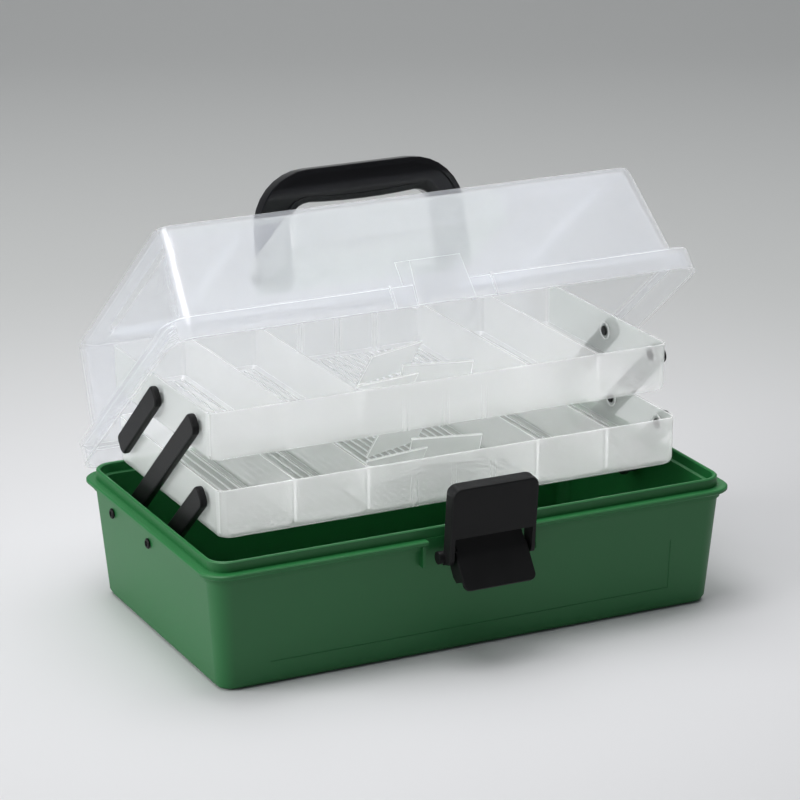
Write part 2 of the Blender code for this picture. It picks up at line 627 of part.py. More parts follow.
def make_tray(name, front, depth, floor_z, pivot, hole_offsets):
    """A tray with moulded partitions, divider guides and rivet holes; its origin is a pivot."""
    back = front + depth
    origin_y, origin_z = pivot
    low = floor_z - origin_z
    top = low + TRAY_HEIGHT
    near = front - origin_y
    far = back - origin_y
    lip = 0.0006
    curve = TRAY_FOOT_ROUND
    rings = [ring(TRAY_HALF_WIDTH - side, near + end, far - end, TRAY_CORNER - end / 2, z)
             for side, end, z in ((TRAY_DRAFT + curve, TRAY_DRAFT + curve * 0.45, low),
                                  (TRAY_DRAFT + curve * 0.3, TRAY_DRAFT + curve * 0.15, low + curve * 0.3),
                                  (TRAY_DRAFT, TRAY_DRAFT, low + curve),
                                  (lip / 2, lip / 2, top - lip), (lip, lip, top))]
    tray = loft(name, rings)
    walls = [-TRAY_HALF_WIDTH + TRAY_SKIN - PARTITION_THICKNESS / 2, -PARTITION_X[1], -PARTITION_X[0],
             PARTITION_X[0], PARTITION_X[1], TRAY_HALF_WIDTH - TRAY_SKIN + PARTITION_THICKNESS / 2]
    for number, (left, right) in enumerate(zip(walls, walls[1:])):
        centre = (left + right) / 2
        half = (right - left - PARTITION_THICKNESS) / 2
        cell = loft(f"{name} cell {number}",
                    [ring(half - inset, near + TRAY_SKIN + inset, far - TRAY_SKIN - inset,
                          CELL_CORNER - inset / 2, z, 3)
                     for inset, z in ((CELL_FOOT_ROUND, low + TRAY_SKIN),
                                      (0, low + TRAY_SKIN + CELL_FOOT_ROUND), (0, top + lip))], tool=True)
        cell.location.x = centre
        combine(tray, cell)
    guide = 0.0014
    slot = DIVIDER_THICKNESS / 2 + RUNNING_GAP
    stop = top - 0.004
    guides = []
    for centre in (-GUIDE_PITCH, 0, GUIDE_PITCH):
        for side in (-1, 1):
            middle = centre + side * (slot + guide / 2)
            guides += [((middle - guide / 2, y - guide, low + TRAY_SKIN / 2),
                        (middle + guide / 2, y + guide, stop))
                       for y in (near + TRAY_SKIN, far - TRAY_SKIN)]
    combine(tray, boxes(name + " guides", guides, tool=True), "UNION")
    ends = both_sides(TRAY_HALF_WIDTH - 2 * TRAY_SKIN, TRAY_HALF_WIDTH + TRAY_SKIN)
    for number, offset in enumerate(hole_offsets):
        combine(tray, rods(f"{name} holes {number}", RIVET_RADIUS + RUNNING_GAP, ends, offset, 0,
                           FINE_STEPS, tool=True))
    tray.location = (0, origin_y, origin_z)
    finish(tray, name + " clear", CLEAR, 0.25, alpha=0.4)
    return tray


def make_trays():
    """Both trays, with the loose spare dividers that lie in their middle compartments."""
    lower = make_tray("lower_tray", LOWER_TRAY_FRONT, LOWER_TRAY_DEPTH, LOWER_TRAY_FLOOR_Z, pivot_at(1, 0),
                      (PIVOT_SPACING, 0, -PIVOT_SPACING))
    upper = make_tray("upper_tray", UPPER_TRAY_FRONT, UPPER_TRAY_DEPTH, UPPER_TRAY_FLOOR_Z, pivot_at(2, 0),
                      (PIVOT_SPACING, 0))
    lean = math.radians(32)
    places = ((-0.026, 0.046, 9), (0.022, 0.062, -14), (0.004, 0.100, 20))
    for word, tray, front, floor_z in (("lower", lower, LOWER_TRAY_FRONT, LOWER_TRAY_FLOOR_Z),
                                       ("upper", upper, UPPER_TRAY_FRONT, UPPER_TRAY_FLOOR_Z)):
        for number, (x, back, turn) in enumerate(places, start=1):
            half_width = DIVIDER_WIDTH / 2
            half = DIVIDER_THICKNESS / 2
            plate = boxes(f"{word}_divider_{number}",
                          [((-half_width, -half, 0), (half_width, half, DIVIDER_HEIGHT))])
            soften(plate, 0.0004, 1)
            plate.parent = tray
            stand = floor_z + TRAY_SKIN + RUNNING_GAP + half
            plate.location = (x, front + back - tray.location.y, stand - tray.location.z)
            plate.rotation_euler = (lean, 0, math.radians(turn))
            finish(plate, plate.name + " clear", CLEAR, 0.25, alpha=0.4)


def make_lever():
    """The latch lever in its closed place, about its pivot: flap, web, two cheeks and hasp stubs."""
    def at(y, z):
        return (y - LEVER_Y, z - LEVER_Z)

    face_y, top_z = at(LEVER_FACE_Y, LEVER_TOP)
    foot_z = LEVER_FOOT - LEVER_Z
    side_x = LEVER_HALF_WIDTH - LEVER_CORNER
    flap = ([(LEVER_HALF_WIDTH, top_z), (-LEVER_HALF_WIDTH, top_z)]
            + arc(-side_x, foot_z + LEVER_CORNER, LEVER_CORNER, 180, 270, 5)
            + arc(side_x, foot_z + LEVER_CORNER, LEVER_CORNER, 270, 360, 5))
    lever = prism("latch_lever", flap, face_y, face_y + LATCH_SKIN, "Y")
    soften(lever, 0.0008)
    web_half = LEVER_HALF_WIDTH - LATCH_SKIN / 2
    web_skin = 0.002
    sunk = 0.001
    web = ((-web_half, face_y, top_z - sunk), (web_half, face_y + web_skin, LEVER_WEB_TOP - LEVER_Z))
    combine(lever, boxes("lever web", [web], tool=True), "UNION")
    eye = 0.0034
    cheek_rear = -0.1044
    cheek_foot = LEVER_FOOT + 0.006
    buried = 0.0012
    cheek = ([at(LEVER_FACE_Y + buried, cheek_foot), at(cheek_rear - 0.002, cheek_foot + 0.002),
              at(cheek_rear, cheek_foot + 0.006), at(cheek_rear, HASP_Z)]
             + arc(0, 0, eye, 0, 135, 6) + [at(LEVER_FACE_Y + buried, LEVER_TOP - buried)])
    cheeks = both_sides(LEVER_HALF_WIDTH - LATCH_SKIN, LEVER_HALF_WIDTH)
    for word, (low, high) in zip(("right", "left"), cheeks):
        combine(lever, prism("lever cheek " + word, cheek, low, high, tool=True), "UNION")
    stub_y, stub_z = at(HASP_Y, HASP_Z)
    stubs = both_sides(LEVER_HALF_WIDTH - LATCH_SKIN / 2, HASP_HALF_WIDTH + 0.0004)
    combine(lever, rods("hasp stubs", HASP_STUB_RADIUS, stubs, stub_y, stub_z, 16, tool=True), "UNION")
    combine(lever, rods("lever bore", LATCH_PIN_RADIUS + RUNNING_GAP, [(-HASP_HALF_WIDTH, HASP_HALF_WIDTH)],
                        0, 0, FINE_STEPS, tool=True))
    lever.location = (0, LEVER_Y, LEVER_Z)
    lever.rotation_euler.x = -LEVER_ANGLE
    finish(lever, "black latch lever", BLACK, 0.4)
    return lever


def make_hasp(lever):
    """The hasp in its closed place, about its pivot: a shallow hood, two bossed arms and an inner hook."""
    def at(y, z):
        return (y - HASP_Y, z - HASP_Z)

    face, top = at(HASP_FACE_Y, HASP_TOP)
    rear = HASP_REAR_Y - HASP_Y
    plate_foot = HASP_PLATE_FOOT - HASP_Z
    inner_half = HASP_HALF_WIDTH - LATCH_SKIN
    past = 0.02
    front = ([(HASP_HALF_WIDTH, -past)]
             + arc(HASP_HALF_WIDTH - HASP_CORNER, top - HASP_CORNER, HASP_CORNER, 0, 90, 5)
             + arc(HASP_CORNER - HASP_HALF_WIDTH, top - HASP_CORNER, HASP_CORNER, 90, 180, 5)
             + [(-HASP_HALF_WIDTH, -past)])
    hasp = prism("latch_hasp", front, face, rear, "Y")
    soften(hasp, 0.0016)
    arm_top = 0.0105
    arm_foot = 0.0016
    chin = 0.0015
    side = ([(face - past, arm_foot + 2 * chin), (face - past, top + past), (past, top + past),
             (past, arm_top), (rear, arm_top - 0.001)]
            + arc(0, 0, HASP_EYE, 40, -140, 8) + [(face + chin, -arm_foot), (face, arm_foot)])
    wide = HASP_HALF_WIDTH + past
    combine(hasp, prism("hasp side", side, -wide, wide, tool=True), "INTERSECT")
    hollow = ((-inner_half, face + LATCH_SKIN, plate_foot), (inner_half, past, top - LATCH_SKIN))
    combine(hasp, boxes("hood hollow", [hollow], tool=True))
    below = ((-inner_half, face - past, -past), (inner_half, past, plate_foot))
    combine(hasp, boxes("arm gap", [below], tool=True))
    hook_half = 0.015
    hook_foot = HOOK_FOOT - HASP_Z
    hook_reach = 0.0028
    hook = ((-hook_half, face + LATCH_SKIN / 2, hook_foot),
            (hook_half, rear + hook_reach, hook_foot + LATCH_SKIN))
    combine(hasp, boxes("hook", [hook], tool=True), "UNION")
    boss_reach = 0.0032
    boss_end = HASP_HALF_WIDTH + boss_reach
    bosses = both_sides(HASP_HALF_WIDTH - LATCH_SKIN / 2, boss_end)
    combine(hasp, rods("hasp bosses", HASP_EYE * 0.8, bosses, 0, 0, 16, tool=True), "UNION")
    bores = both_sides(inner_half - LATCH_SKIN / 2, boss_end - LATCH_SKIN / 2)
    combine(hasp, rods("hasp bores", HASP_STUB_RADIUS + RUNNING_GAP, bores, 0, 0, 16, tool=True))
    hasp.parent = lever
    hasp.location = (0, *(a - b for a, b in zip((HASP_Y, HASP_Z), (LEVER_Y, LEVER_Z))))
    hasp.rotation_euler.x = LEVER_ANGLE + HASP_ANGLE
    finish(hasp, "black latch hasp", BLACK, 0.4)


def make_pins():
    """The two hinge pins and the latch pin."""
    reach = LID_KNUCKLE_LENGTH / 2 + TUB_KNUCKLE_LENGTH + KNUCKLE_CLEARANCE
    for word, x in (("right", HINGE_X), ("left", -HINGE_X)):
        pin = rods("hinge_pin_" + word, HINGE_PIN_RADIUS, [(x - reach, x + reach)], 0, 0, FINE_STEPS)
        pin.location = (0, HINGE_Y, HINGE_Z)
        finish(pin, "steel hinge pin " + word, STEEL, 0.3, metallic=1.0)
    latch_reach = LEVER_HALF_WIDTH - RUNNING_GAP
    pin = rods("latch_pin", LATCH_PIN_RADIUS, [(-latch_reach, latch_reach)], 0, 0, FINE_STEPS)
    pin.location = (0, LEVER_Y, LEVER_Z)
    finish(pin, "steel latch pin", STEEL, 0.3, metallic=1.0)


def main():
    start_scene()
    make_tub()
    lid = make_lid()
    make_handle(lid)
    make_arms_and_rivets()
    make_trays()
    lever = make_lever()
    make_hasp(lever)
    make_pins()
    bpy.context.view_layer.update()


main()
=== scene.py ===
# %% [markdown]
# # A fishing tackle box in the studio
# The box is a green moulded tub with a clear hinged lid, and two clear trays that rise on black
# arms. The construction arrives as a fixed frame of solids. This lesson gives every solid its
# finish, adds the fine moulded detail, and sets a camera and lights round it.

# %% Load the frame
import json
import math

import bmesh
import bpy
from mathutils import Matrix, Vector


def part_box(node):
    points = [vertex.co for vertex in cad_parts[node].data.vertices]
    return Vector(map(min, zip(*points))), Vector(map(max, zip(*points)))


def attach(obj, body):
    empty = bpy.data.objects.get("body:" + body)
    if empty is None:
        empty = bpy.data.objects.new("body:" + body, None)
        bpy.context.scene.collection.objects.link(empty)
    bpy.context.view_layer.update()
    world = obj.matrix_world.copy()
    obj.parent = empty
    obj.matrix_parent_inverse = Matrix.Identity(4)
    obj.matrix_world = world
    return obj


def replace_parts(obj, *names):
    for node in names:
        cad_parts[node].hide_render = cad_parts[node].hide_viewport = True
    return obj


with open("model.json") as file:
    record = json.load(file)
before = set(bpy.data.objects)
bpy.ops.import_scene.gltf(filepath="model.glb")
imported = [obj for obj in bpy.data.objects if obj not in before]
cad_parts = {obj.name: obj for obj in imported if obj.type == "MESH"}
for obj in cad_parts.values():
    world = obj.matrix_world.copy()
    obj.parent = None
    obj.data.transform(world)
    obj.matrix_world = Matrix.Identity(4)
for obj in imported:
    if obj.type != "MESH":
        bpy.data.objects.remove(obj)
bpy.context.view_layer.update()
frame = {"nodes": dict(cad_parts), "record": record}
body_of = {node: body for body, nodes in frame["record"]["behaviour"]["bodies"].items() for node in nodes}
slot_of = {part["node"]: part["material_slot"] for part in frame["record"]["subparts"]}

# %% [markdown]
# ## The camera
# A product photographer stands far back with a long lens, so that the box keeps nearly parallel
# edges. The camera is given as a place, a turn to the right, a tilt down and a slight roll. Its
# frame is square, so one lens length fixes both directions.

# %% Camera
LENS_MM = 153.06
EYE = Vector((-0.88666, -1.83033, 0.79583))
TURN_RIGHT = math.radians(25.76)
TILT_DOWN = math.radians(18.08)
ROLL = math.radians(0.34)


def make_camera():
    camera_data = bpy.data.cameras.new("studio_camera")
    camera_data.lens = LENS_MM
    camera_data.sensor_width = 36
    camera = bpy.data.objects.new("studio_camera", camera_data)
    bpy.context.scene.collection.objects.link(camera)
    aim = Matrix.Rotation(-TURN_RIGHT, 4, "Z") @ Matrix.Rotation(math.pi / 2 - TILT_DOWN, 4, "X")
    camera.matrix_world = Matrix.Translation(EYE) @ aim @ Matrix.Rotation(-ROLL, 4, "Z")
    bpy.context.scene.camera = camera
    return camera


camera = make_camera()
print("camera distance to the box:", round(EYE.length, 2), "m")

# %% [markdown]
# ## Writing shader maths as Python
# A surface is never one flat value. Its colour, gloss and height drift a little, and those drifts
# are sums and products of noise. The small class below wraps a socket, so that such a sum reads as
# plain arithmetic and every operator adds its Math node.

# %% Sockets with arithmetic
class Wire:
    """An output socket of a material, with the operators that its maths needs."""

    def __init__(self, paint, socket):
        self.paint = paint
        self.socket = socket

    def combine(self, operation, first, second):
        return self.paint.node("ShaderNodeMath", {"operation": operation}, {0: first, 1: second}).wire(0)

    def __add__(self, other):
        return self.combine("ADD", self, other)

    __radd__ = __add__

    def __sub__(self, other):
        return self.combine("SUBTRACT", self, other)

    def __rsub__(self, other):
        return self.combine("SUBTRACT", other, self)

    def __mul__(self, other):
        return self.combine("MULTIPLY", self, other)

    __rmul__ = __mul__


class Node:
    """A node of a material, whose outputs are read as wires."""

    def __init__(self, paint, node):
        self.paint = paint
        self.node = node

    def wire(self, output):
        return Wire(self.paint, self.node.outputs[output])


class Paint:
    """A material under construction: a Principled shader and the nodes that feed it."""

    def __init__(self, name):
        self.material = bpy.data.materials.new(name)
        self.material.use_nodes = True
        self.tree = self.material.node_tree
        self.shader = Node(self, self.tree.nodes["Principled BSDF"])
        self.place = self.node("ShaderNodeTexCoord").wire("Object")

    def node(self, kind, settings=None, sockets=None):
        made = self.tree.nodes.new(kind)
        for name, value in (settings or {}).items():
            setattr(made, name, value)
        self.feed(made, sockets or {})
        return Node(self, made)

    def feed(self, node, sockets):
        for key, value in sockets.items():
            if isinstance(value, Wire):
                self.tree.links.new(value.socket, node.inputs[key])
            else:
                node.inputs[key].default_value = value

    def set(self, **sockets):
        self.feed(self.shader.node, {name.replace("_", " "): value for name, value in sockets.items()})
        return self

    def noise(self, scale, detail=2.0, roughness=0.5):
        return self.node("ShaderNodeTexNoise", None, {"Vector": self.place, "Scale": scale, "Detail": detail,
                                                      "Roughness": roughness}).wire(0)

    def blend(self, factor, first, second):
        mix = self.node("ShaderNodeMix", {"data_type": "RGBA"}, {0: factor, 6: (*first, 1), 7: (*second, 1)})
        return mix.wire(2)

    def bump(self, height, strength, distance):
        return self.node("ShaderNodeBump", None, {"Height": height, "Strength": strength,
                                                  "Distance": distance}).wire(0)

    def distance(self):
        return self.node("ShaderNodeVectorMath", {"operation": "LENGTH"}, {0: self.place}).wire("Value")

    def ease(self, value, low, high):
        """A smooth step from 0 at low to 1 at high."""
        return self.node("ShaderNodeMapRange", {"interpolation_type": "SMOOTHSTEP"},
                         {"Value": value, "From Min": low, "From Max": high}).wire("Result")


# %% [markdown]
# ## Floor and backdrop
# A studio sweep is one sheet that runs flat under the object and curves up behind it, so no
# horizon line shows. It is an open strip, extruded sideways from a flat line, an arc and a wall.
# The paper's colour is painted palest round the box, a painted pool of light, and greyer further off.

# %% Studio sweep
SWEEP_HALF_WIDTH = 6.0
SWEEP_FRONT = -4.0
SWEEP_BEND_START = 1.6
SWEEP_BEND_RADIUS = 1.4
SWEEP_TOP = 4.5
PAPER_NEAR = (0.76, 0.76, 0.775)
PAPER_FAR = (0.59, 0.60, 0.595)


def sweep_profile(steps=24):
    points = [(SWEEP_FRONT, 0.0)]
    for step in range(steps + 1):
        turn = math.radians(90 * step / steps)
        points.append((SWEEP_BEND_START + SWEEP_BEND_RADIUS * math.sin(turn),
                       SWEEP_BEND_RADIUS * (1 - math.cos(turn))))
    return points + [(SWEEP_BEND_START + SWEEP_BEND_RADIUS, SWEEP_TOP)]


def make_sweep():
    turn = Matrix.Rotation(-TURN_RIGHT, 3, "Z")
    solid = bmesh.new()
    rows = [[solid.verts.new(turn @ Vector((side * SWEEP_HALF_WIDTH, y, z))) for side in (-1, 1)]
            for y, z in sweep_profile()]
    for near, far in zip(rows, rows[1:]):
        solid.faces.new((near[0], near[1], far[1], far[0])).smooth = True
    mesh = bpy.data.meshes.new("studio_sweep")
    solid.to_mesh(mesh)
    solid.free()
    sweep = bpy.data.objects.new("studio_sweep", mesh)
    bpy.context.scene.collection.objects.link(sweep)
    paper = Paint("studio_paper")
    # The paper's colour eases from the pale near colour to the grey far one: a painted pool of light round
    # the box.
    paper.set(Base_Color=paper.blend(paper.ease(paper.distance(), 0.15, 0.85), PAPER_NEAR, PAPER_FAR),
              Roughness=0.55, Specular_IOR_Level=0.3)
    mesh.materials.append(paper.material)
    return sweep


sweep = make_sweep()
print("sweep faces:", len(sweep.data.polygons))

# %% [markdown]
# ## Soft light
# The end of the tub that faces left is much brighter than its front, and carries a pale sheen, so a
# large soft box stands on the left. A second one hangs overhead, with a smaller key box beside it.
# Little light comes from the camera's side, and the pale floor throws the rest back up. Clear
# mouldings in a photograph live on light that comes through them, and one exposure seldom suits
# them and the solid parts alike. Light linking gives a lamp a collection of the objects that it may
# reach, so two boxes shine on the clear mouldings alone, one on the tub with the lower tray, and one
# on the lower tray alone. The last of these is also stopped only by that tray, or the upper tray would
# keep it dark. The last lamp is seen only as a reflection, on the glossy pieces: it draws the bright
# line on the lid's corner and adds no light elsewhere. These are a photographer's tricks, so under
# plain light the clear parts look greyer.

# %% Lamps
def soft_box(name, place, aim, width, height, power):
    light = bpy.data.lights.new(name, "AREA")
    light.shape = "RECTANGLE"
    light.size = width
    light.size_y = height
    light.energy = power
    lamp = bpy.data.objects.new(name, light)
    bpy.context.scene.collection.objects.link(lamp)
    lamp.location = place
    lamp.rotation_euler = (Vector(aim) - Vector(place)).to_track_quat("-Z", "Y").to_euler()
    return lamp


clear_mouldings, glossy_mouldings, lower_mouldings, base_and_tray = (
    bpy.data.collections.new(name)
    for name in ("clear_mouldings", "glossy_mouldings", "lower_mouldings", "base_and_tray"))
KEY_PLACE = (-0.4, -0.12, 1.85)
KEY_AIM = (-0.1, 0, 0.2)
KEY_SIZE = (0.95, 0.9)
KEY_POWER = 12
SHEEN_POWER = 160
GLOW_AIM = (0, 0, 0.15)
GLOW_SIZE = (1.6, 1.0)
GLOWS = (("glow_behind", (1.3, 0.9, 0.8), 15, clear_mouldings),
         ("glow_in_front", (0.2, -1.8, 0.5), 16, clear_mouldings),
         ("glow_from_above", (0.1, 0.7, 1.3), 14, base_and_tray),
         ("glow_below", (-0.1, -0.9, 1.5), 16, lower_mouldings))
soft_box("overhead_box", (0.4, 0.4, 1.9), (0.1, 0, 0.1), 2.2, 1.6, 22)
soft_box("key_box", KEY_PLACE, KEY_AIM, *KEY_SIZE, KEY_POWER)
soft_box("left_box", (-2.1, 0.2, 1.0), (0, 0, 0.12), 1.5, 1.5, 31)
for name, place, power, reached in GLOWS:
    glow = soft_box(name, place, GLOW_AIM, *GLOW_SIZE, power)
    glow.light_linking.receiver_collection = reached
    if reached == lower_mouldings:
        glow.light_linking.blocker_collection = lower_mouldings
sheen = soft_box("sheen_box", KEY_PLACE, KEY_AIM, *KEY_SIZE, SHEEN_POWER)
sheen.light_linking.receiver_collection = glossy_mouldings
sheen.visible_diffuse = False
sheen.visible_transmission = False
print("lights:", [light.name for light in bpy.data.lights])

# %% [markdown]
# ## Air and exposure
# A faint, slightly blue sky light fills the deepest shadows. Many clear walls stand behind each
# other, so rays may pass through more of them than usual before they end.

# %% Air
AIR_COLOUR = (0.9, 0.93, 1.0, 1)
AIR_STRENGTH = 0.125
MOST_BOUNCES = 20
MOST_DIFFUSE_BOUNCES = 10
MOST_CLEAR_WALLS = 40
world = bpy.data.worlds.new("studio_air")
bpy.context.scene.world = world
world.use_nodes = True
air = world.node_tree.nodes["Background"].inputs
air["Color"].default_value = AIR_COLOUR
air["Strength"].default_value = AIR_STRENGTH
bpy.context.scene.view_settings.view_transform = "Standard"
paths = bpy.context.scene.cycles
paths.max_bounces = MOST_BOUNCES
paths.diffuse_bounces = MOST_DIFFUSE_BOUNCES
paths.transparent_max_bounces = MOST_CLEAR_WALLS
print("air strength:", AIR_STRENGTH)

# %% [markdown]
# ## Finishes
# The tub is polypropylene from a spark-eroded mould: a fine even grain with a satin gloss, and a
# faint drift in colour where the plastic flowed. The black mouldings have the same grain, and the
# handle is polished. Lid and trays are unfilled polypropylene, which lets light through but
# scatters some of it, so they are part see-through and part white. True refraction with scattering
# inside would be slow and noisy here, so a share of each clear surface, its haze, is a soft white
# plastic, and the rest lets rays straight through.

# %% Green tub finish
def green_polypropylene():
    paint = Paint("green_polypropylene")
    grain = paint.noise(1500, 2.0)
    flow = paint.noise(14, 3.0)
    paint.set(Base_Color=paint.blend(flow, (0.011, 0.140, 0.034), (0.016, 0.158, 0.041)),
              Roughness=0.36 + 0.10 * grain + 0.05 * flow, Specular_IOR_Level=0.48,
              Normal=paint.bump(grain, 0.16, 0.0004))
    return paint.material


# %% Black finishes
def satin_black():
    paint = Paint("satin_black")
    grain = paint.noise(1700, 2.0)
    wear = paint.noise(60, 3.0)
    paint.set(Base_Color=paint.blend(wear, (0.0075, 0.0075, 0.0080), (0.0125, 0.0128, 0.0130)),
              Roughness=0.38 + 0.12 * grain + 0.06 * wear, Specular_IOR_Level=0.18,
              Normal=paint.bump(grain, 0.12, 0.0003))
    return paint.material


def gloss_black():
    paint = Paint("gloss_black")
    flow = paint.noise(40, 2.0)
    paint.set(Base_Color=paint.blend(flow, (0.0060, 0.0060, 0.0075), (0.0095, 0.0095, 0.0110)),
              Roughness=0.07 + 0.05 * flow)
    return paint.material


# %% Clear finishes
def clear_polypropylene(name, haze, tint, gloss, glow=0.0):
    """A clear finish: haze is the share that isn't seen through, and glow a weak light of its own."""
    paint = Paint(name)
    flow = paint.noise(9, 3.0)
    mist = paint.noise(300, 2.0)
    paint.set(Base_Color=paint.blend(flow, tint, tuple(0.97 * value for value in tint)),
              Alpha=haze - 0.03 + 0.06 * flow, Subsurface_Weight=1.0, Subsurface_Scale=0.004,
              Subsurface_Radius=(1.0, 1.0, 1.0), IOR=1.49,
              Roughness=gloss + 0.06 * mist, Emission_Color=(1, 1, 1, 1), Emission_Strength=glow)
    paint.material.surface_render_method = "BLENDED"
    return paint.material


# %% Steel finish
def drawn_steel():
    paint = Paint("drawn_steel")
    streak = paint.noise(900, 2.0)
    paint.set(Base_Color=(0.56, 0.56, 0.57, 1), Metallic=1.0, Roughness=0.24 + 0.16 * streak)
    return paint.material


finishes = {
    "green_plastic": green_polypropylene(),
    "black_plastic": satin_black(),
    "gloss_black_plastic": gloss_black(),
    "clear_lid_plastic": clear_polypropylene("clear_lid", 0.18, (0.83, 0.855, 0.93), 0.08),
    "clear_tray_plastic": clear_polypropylene("clear_tray", 0.23, (0.97, 0.99, 0.97), 0.22),
    "steel": drawn_steel(),
}
print("finishes:", sorted(finishes))

# %% [markdown]
# ## Clearer and denser finishes, painted light and shade
# Clear plastic gathers light and lets it out along its edges, which the lid's edges copy with a denser
# finish and a weak glow, painted light. The other finishes are matched: the ends of the lid look clearer
# than its front, and the ends of the trays and the handle's trough denser, so these get painted shade, a
# clearer, slightly darker finish and a denser, greyer one. The solids' walls there are about as thick as
# elsewhere.

# %% Edges, ends and ribs
# Whiter, denser edge finishes paint a bright line along the clear edges; the lid's also glows, painted
# light.
painted_edge_light = {
    "clear_lid_plastic": clear_polypropylene("clear_lid_edge_light", 0.60, (0.96, 0.97, 0.98), 0.16, 0.12),
    "clear_tray_plastic": clear_polypropylene("clear_tray_edge_light", 0.55, (0.96, 0.97, 0.98), 0.16),
}
# A clearer, slightly darker lid finish paints shade on the lid's end walls, and a denser, greyer finish
# paints shade on the trays' end walls and in the handle's trough.
clear_lid_end_shade = clear_polypropylene("clear_lid_end_shade", 0.08, (0.80, 0.83, 0.90), 0.08)
clear_rib = clear_polypropylene("clear_rib", 0.40, (0.96, 0.97, 0.98), 0.20)
clear_dense_shade = clear_polypropylene("clear_dense_shade", 0.46, (0.72, 0.75, 0.73), 0.16)
print("clear finishes:", [material.name for material in bpy.data.materials if "clear" in material.name])

# %% [markdown]
# ## Dressing the solids
# The solids arrive as loose triangles with hard edges. A copy of each has its points merged and its
# flat faces made whole. No mould has a truly sharp edge, so a bevel a fraction of a millimetre wide
# rounds every hard edge, where it will catch the light. On the clear mouldings that rounding gets a whiter,
# denser edge finish, a painted highlight along every edge, which on the lid also glows. At last the normals
# are weighted by face area, which keeps the flat faces flat.

# %% Which faces of a clear moulding get painted shade, in a denser or clearer finish
# Finish slots: plain, the painted edge light, and two finishes of painted shade.
PLAIN, EDGE_LIGHT, DENSE_SHADE, CLEARER_SHADE = range(4)
END_WALL = 0.003
FACES_SIDEWAYS = 0.8
LID_END_SIDEWAYS = 0.6
TROUGH_HALF_WIDTH = 0.0755
TROUGH_LOW = (-0.0795, 0.138)
TROUGH_HIGH = (0.0015, 0.1585)
LID_OPEN = math.radians(38.5)
joints = frame["record"]["behaviour"]["joints"]
hinge = next(Vector(joint["pos_m"]) for joint in joints if joint["child"] == "lid")
lid_shut = Matrix.Translation(hinge) @ Matrix.Rotation(LID_OPEN, 4, "X") @ Matrix.Translation(-hinge)


def finish_index(node, face, end):
    """Which finish a clear face gets: a denser, greyer one on a tray's end walls and in the lid's trough,
    and a clearer, slightly darker one on the lid's end walls, both painted shade."""
    sideways = abs(face.normal.x)
    if node.endswith("_tray"):
        return DENSE_SHADE if sideways > FACES_SIDEWAYS and abs(face.center.x) > end - END_WALL else PLAIN
    if node == "lid_shell":
        place = lid_shut @ face.center
        in_section = all(a < b < c for a, b, c in zip(TROUGH_LOW, place.yz, TROUGH_HIGH))
        if in_section and abs(place.x) < TROUGH_HALF_WIDTH:
            return DENSE_SHADE
        return CLEARER_SHADE if sideways > LID_END_SIDEWAYS and abs(place.x) > TROUGH_HALF_WIDTH else PLAIN
    return PLAIN


print("lid hinge:", tuple(round(value, 4) for value in hinge))

# %% Smooth copies of the solids
EDGE_ROUND = {"green_plastic": 0.0004, "black_plastic": 0.0006, "gloss_black_plastic": 0.0003,
              "clear_lid_plastic": 0.0009, "clear_tray_plastic": 0.0004, "steel": 0.0002}
SAME_POINT = 0.000002
FLAT_DEGREES = 0.4
SHARP_DEGREES = 32


def smooth_copy(node):
    solid = bmesh.new()
    solid.from_mesh(frame["nodes"][node].data)
    bmesh.ops.remove_doubles(solid, verts=solid.verts, dist=SAME_POINT)
    bmesh.ops.dissolve_limit(solid, angle_limit=math.radians(FLAT_DEGREES), verts=solid.verts,
                             edges=solid.edges)
    mesh = bpy.data.meshes.new(node + "_skin")
    solid.to_mesh(mesh)
    solid.free()
    mesh.shade_smooth()
    mesh.set_sharp_from_angle(angle=math.radians(SHARP_DEGREES))
    piece = bpy.data.objects.new(node + "_skin", mesh)
    bpy.context.scene.collection.objects.link(piece)
    mesh.materials.append(finishes[slot_of[node]])
    rounding = piece.modifiers.new("rounded edges", "BEVEL")
    rounding.width = EDGE_ROUND[slot_of[node]]
    rounding.segments = 2
    rounding.limit_method = "ANGLE"
    rounding.angle_limit = math.radians(SHARP_DEGREES)
    rounding.use_clamp_overlap = True
    if slot_of[node].startswith("clear"):
        # The rounded edges take the whiter edge finish, a painted highlight; chosen faces take finishes of
        # painted shade.
        for finish in (painted_edge_light[slot_of[node]], clear_dense_shade, clear_lid_end_shade):
            mesh.materials.append(finish)
        rounding.material = EDGE_LIGHT
        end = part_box(node)[1][0]
        for face in mesh.polygons:
            face.material_index = finish_index(node, face, end)
    weighted = piece.modifiers.new("weighted normals", "WEIGHTED_NORMAL")
    weighted.keep_sharp = True
    weighted.weight = 80
    return piece


def as_plain_mesh(piece):
    """Replace a piece's modifiers by the mesh that they make."""
    evaluated = piece.evaluated_get(bpy.context.evaluated_depsgraph_get())
    mesh = bpy.data.meshes.new_from_object(evaluated)
    piece.modifiers.clear()
    piece.data = mesh
    mesh.name = piece.name
    return piece


def seat(piece, node):
    """Carry a piece on a solid's body, and put it among those that the linked lamps reach."""
    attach(piece, body_of[node])
    clear = slot_of[node].startswith("clear")
    lower = clear and node.startswith("lower")
    for collection, reached in ((clear_mouldings, clear), (lower_mouldings, lower),
                                (glossy_mouldings, clear or slot_of[node].startswith("gloss")),
                                (base_and_tray, lower or node == "base_tub")):
        if reached:
            collection.objects.link(piece)
    return piece


for node in sorted(frame["nodes"]):
    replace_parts(seat(as_plain_mesh(smooth_copy(node)), node), node)
print("dressed:", len(frame["nodes"]), "solids")

# %% [markdown]
# ## Ribs on the tray floors
# The floor of every tray compartment carries low ribs that run from front to back, so that a hook
# lies clear of the floor and can be picked up. One strip of edge marks each compartment, and a
# Geometry Nodes tree resamples the strip at the ribs' pitch and stands a rib on every point. The
# small class below builds such trees, and three pieces of this lesson use it.

